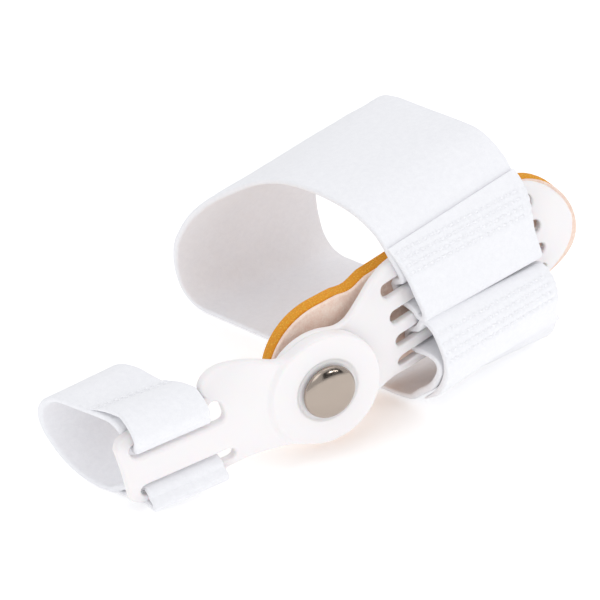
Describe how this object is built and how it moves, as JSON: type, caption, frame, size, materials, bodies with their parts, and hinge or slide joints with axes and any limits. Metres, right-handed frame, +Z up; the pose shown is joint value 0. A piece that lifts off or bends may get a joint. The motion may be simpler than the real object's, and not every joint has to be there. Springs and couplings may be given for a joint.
{
  "type": "bunion corrector",
  "caption": "Hinged bunion corrector: two curved plastic halves on a rivet, a foam pad, a toe strap loop and a wide foot strap loop.",
  "frame": {"origin": "on the surface the straps rest on, below the middle of the whole object", "axes": "+X from the toe end to the heel end, +Y from the outer face of the splint towards the foot, +Z up"},
  "size_m": [0.1636, 0.127, 0.0734],
  "materials": {
    "white_plastic": "smooth moulded",
    "nickel": "plated",
    "velour": "short nap",
    "foam": "open-cell foam",
    "strap_cloth": "brushed loop"
  },
  "bodies": {
    "plate": {"foot_plate": "white_plastic", "hinge_rivet": "nickel", "pad_cover": "velour", "pad_foam": "foam", "foot_strap": "strap_cloth"},
    "arm": {"toe_arm": "white_plastic", "toe_strap": "strap_cloth"}
  },
  "joints": [
    {"name": "arm_hinge", "type": "hinge", "parent": "plate", "child": "arm", "pos_m": [-0.01302, -0.05585, 0.02371], "axis": [-0.0157, 0.9968, 0.0786], "range_deg": [-25, 40]}
  ]
}
